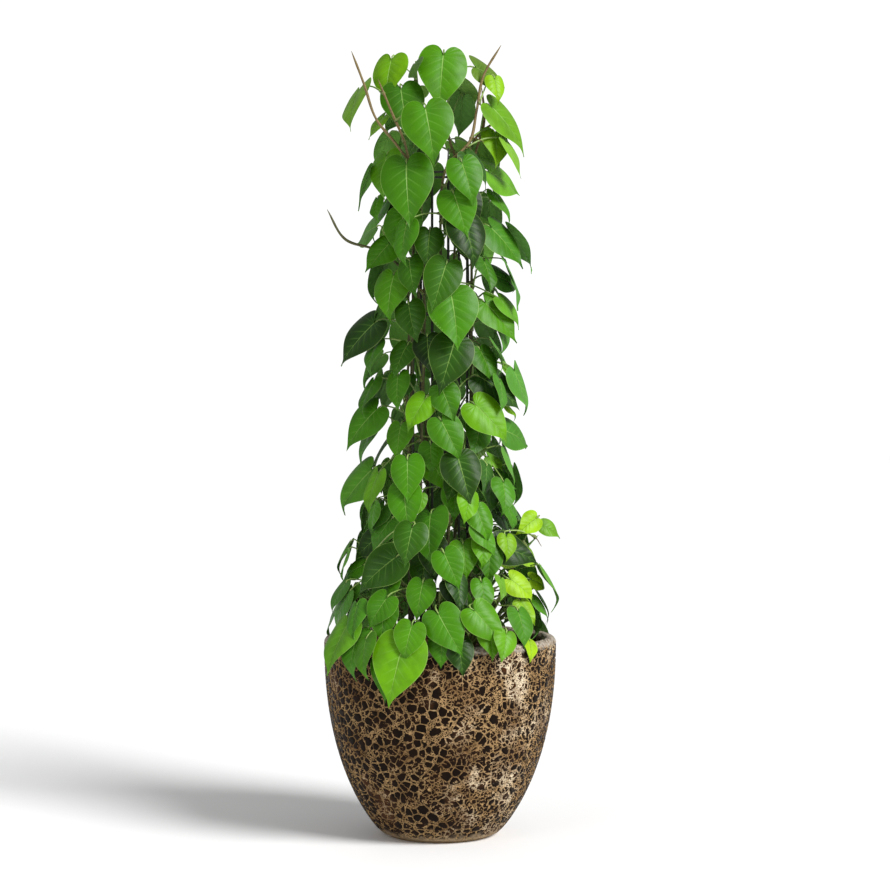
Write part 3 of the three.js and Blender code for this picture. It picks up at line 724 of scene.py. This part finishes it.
def blade_faces():
    """Both faces of the blade and the strip round its margin."""
    count = len(GRID)
    faces = []
    for i in range(ROWS):
        for k in range(WIDTH - 1):
            a = i * WIDTH + k
            quad = (a, a + WIDTH, a + WIDTH + 1, a + 1)
            faces.append(quad)
            faces.append(tuple(count + p for p in reversed(quad)))
        for a in (i * WIDTH, (i + 1) * WIDTH - 1):
            strip = (a, a + count, a + WIDTH + count, a + WIDTH)
            faces.append(strip if a == i * WIDTH else strip[::-1])
    return faces


FACES = blade_faces()


def blade_points(leaf):
    """The blade's own curved surface: arched midrib, raised halves, wavy margin and curled tip."""
    u, t, v, w = GRID.T
    reach, half = leaf["reach"], leaf["half"]
    q = np.abs(t)
    height = BULGE * reach * 4 * u * (1 - u)
    height += half * (FOLD * q - (FOLD + EDGE_DROP) * q**2) * leaf["cup"]
    height += leaf["wave"] * w**2 * np.sin(v * leaf["waves"] + np.where(t > 0, leaf["phase"], 2.1))
    height -= leaf["curl"] * np.clip(u - 0.72, 0, 1) ** 2 * reach * 3
    sway = leaf["sway"] * np.clip(u, 0, 1) ** 2 * reach
    middle_line = (leaf["base"] + np.outer(u * reach, leaf["along"])
                   + np.outer(t * half + sway, leaf["across"]))
    thick = THICKNESS / 2 * (1.15 - w)
    front = middle_line + np.outer(height + thick, leaf["face"])
    back = middle_line + np.outer(height - thick, leaf["face"])
    return np.concatenate([front, back])


def leaf_look(name, leaf):
    """Tone with painted light and shade, youth with painted backlight, and painted sheen of one leaf,
    from its size, where it hangs and how it faces.
    """
    x, y, z = leaf["base"]
    edge = np.interp(z, (0.36, 0.52, 0.68), (0.205, 0.146, 0.106))
    # Painted shade: leaves deep inside the foliage are darker, outer ones lighter.
    depth = np.interp(math.hypot(x, y) / edge, (0.55, 0.8, 1.0), (-0.1, 0.3, 0.52))
    size = leaf["reach"] * 1.17
    # Painted shade from depth, random tone, and painted light on leaves that face up.
    painted_light_and_tone = depth + 0.19 * random.standard_normal() + 0.1 * leaf["face"][2]
    youth_and_backlight = 0.35 * random.random() if size < 58 * MM else 0
    if name == "shoot_right" and size < 70 * MM:
        youth_and_backlight = 0.7 + 0.15 * random.standard_normal()
    # Painted backlight: leaves at the top of the plant are made lighter and more lime, as if lit through
    # from behind.
    if z > 0.86 * TOP:
        painted_light_and_tone += 0.16
        youth_and_backlight = max(youth_and_backlight, 0.55 * random.random() - 0.1)
    # Painted sheen: leaves turned sideways get a bluish reflection, more the further they turn.
    painted_sheen = max(0, abs(leaf["face"][0]) - 0.45) * 0.75 * random.random()
    return np.clip((min(painted_light_and_tone, 0.74), youth_and_backlight, painted_sheen), 0, 1)


def make_leaves(name, leaves):
    points, faces, blade, look = [], [], [], []
    _, _, row, out = GRID.T
    count = len(GRID)
    for i, leaf in enumerate(leaves):
        leaf.update(
            cup=random.uniform(0.5, 1.4), wave=random.uniform(0.8, 2.8) * MM,
            waves=random.uniform(6, 11), phase=random.uniform(0, 6), curl=random.uniform(-0.2, 0.9),
            sway=random.uniform(-0.05, 0.05),
        )
        points.append(blade_points(leaf))
        faces += [tuple(p + 2 * count * i for p in face) for face in FACES]
        for side in (0, 1):
            blade.append(np.stack([row, out, np.full(count, side)], axis=1))
        look.append(np.tile(leaf_look(name, leaf), (2 * count, 1)))
    piece = mesh_object(name + "_leaves", np.concatenate(points), faces)
    give(piece, "blade", np.concatenate(blade))
    give(piece, "look", np.concatenate(look))
    sharpen_margins(piece, np.concatenate(blade))
    return piece


def sharpen_margins(piece, blade):
    """Keeps the shading of a blade's two faces apart at its margin."""
    mesh = piece.data
    ends = np.empty(2 * len(mesh.edges), dtype=np.int32)
    mesh.edges.foreach_get("vertices", ends)
    ends = ends.reshape(-1, 2)
    rim = blade[ends][:, :, 1] > 0.999
    same = blade[ends][:, 0, 2] == blade[ends][:, 1, 2]
    sharp = mesh.attributes.new("sharp_edge", "BOOLEAN", "EDGE")
    sharp.data.foreach_set("value", rim.all(axis=1) & same)


# ---- stems, petioles and what grows on them ----

def make_stems(name, line, leaves):
    parts, marks = [], []

    def grow(part, woody, pale):
        parts.append(part)
        marks.append(np.tile((woody, pale, 0), (len(part[0]), 1)))

    fine = smooth_line(line, 7 * MM)
    height = fine[:, 2]
    along = np.linspace(0, 1, len(fine))
    radii = (3.3 - 1.1 * along + 0.25 * np.sin(along * 90)) * MM
    radii[-4:] *= (0.85, 0.65, 0.42, 0.15)
    top = np.clip((height - 0.78 * TOP) / (0.1 * TOP), 0, 1)
    parts.append(tube(fine, radii, 10))
    woody = np.clip(0.75 + 0.25 * top, 0, 1) if name.startswith("vine") else np.full(len(fine), 0.15)
    marks.append(np.repeat(np.stack([woody, top * 0.7, np.zeros(len(fine))], axis=1), 10, axis=0))

    for leaf in leaves:
        base, arch, stalk = leaf["base"], leaf["arch"], leaf["stalk"]
        foot = fine[np.argmin(np.linalg.norm(fine - stalk, axis=1))]
        rise = stalk + (arch - stalk) * 0.5 + np.array((0, 0, 0.08 * np.linalg.norm(arch - stalk)))
        join = base - leaf["face"] * 0.8 * MM
        stalk_line = smooth_line([foot, stalk, rise, arch, join], 6 * MM)
        share = np.linspace(0, 1, len(stalk_line))
        thick = (1.9 - 0.9 * share + 0.5 * np.exp(-(((share - 0.94) / 0.05) ** 2))) * MM
        grow(tube(stalk_line, thick, 6), 0.12, 0.25 + 0.5 * random.random())
        grow(tube([foot, foot + (stalk - foot) * 1.2, stalk + (rise - stalk) * 0.22],
                  np.array((3.6, 3.2, 1.6)) * MM, 8), 0.5, 0.3)
        if random.random() < 0.35:
            grow(aerial_root(foot), 1.0, 0.55)
    piece = mesh_object(name + "_stems", *joined(parts))
    give(piece, "stem", np.concatenate(marks))
    return piece


def aerial_root(foot):
    """A short kinked root from a stem, drooping as it goes."""
    way = np.array((foot[0], foot[1], 0)) / (math.hypot(foot[0], foot[1]) + 1e-9)
    way = way + random.uniform(-0.8, 0.8, 3)
    way /= np.linalg.norm(way)
    length = random.uniform(10, 26) * MM
    line = [foot + way * length * s + np.array((0, 0, -0.5 * length * s**2))
            + random.uniform(-1, 1, 3) * MM * (s > 0) for s in (0, 0.35, 0.7, 1)]
    line = smooth_line(line, 4 * MM)
    return tube(line, np.linspace(1.2, 0.5, len(line)) * MM, 5)


# ---- the whole plant ----

set_the_stage()
make_planter()
make_mix()
make_column()
LEAF, STEM = leaf_material(), stem_material()
for vine in VINES:
    bm = welded(vine)
    leaves = [read_leaf(chain) for chain in rim_chains(bm)]
    line = read_stem(bm)
    bm.free()
    slot = "foliage" if vine.startswith("vine_") else "young_foliage"
    finish_piece(make_leaves(vine, leaves), LEAF, slot, vine)
    finish_piece(make_stems(vine, line, leaves), STEM, slot, vine)
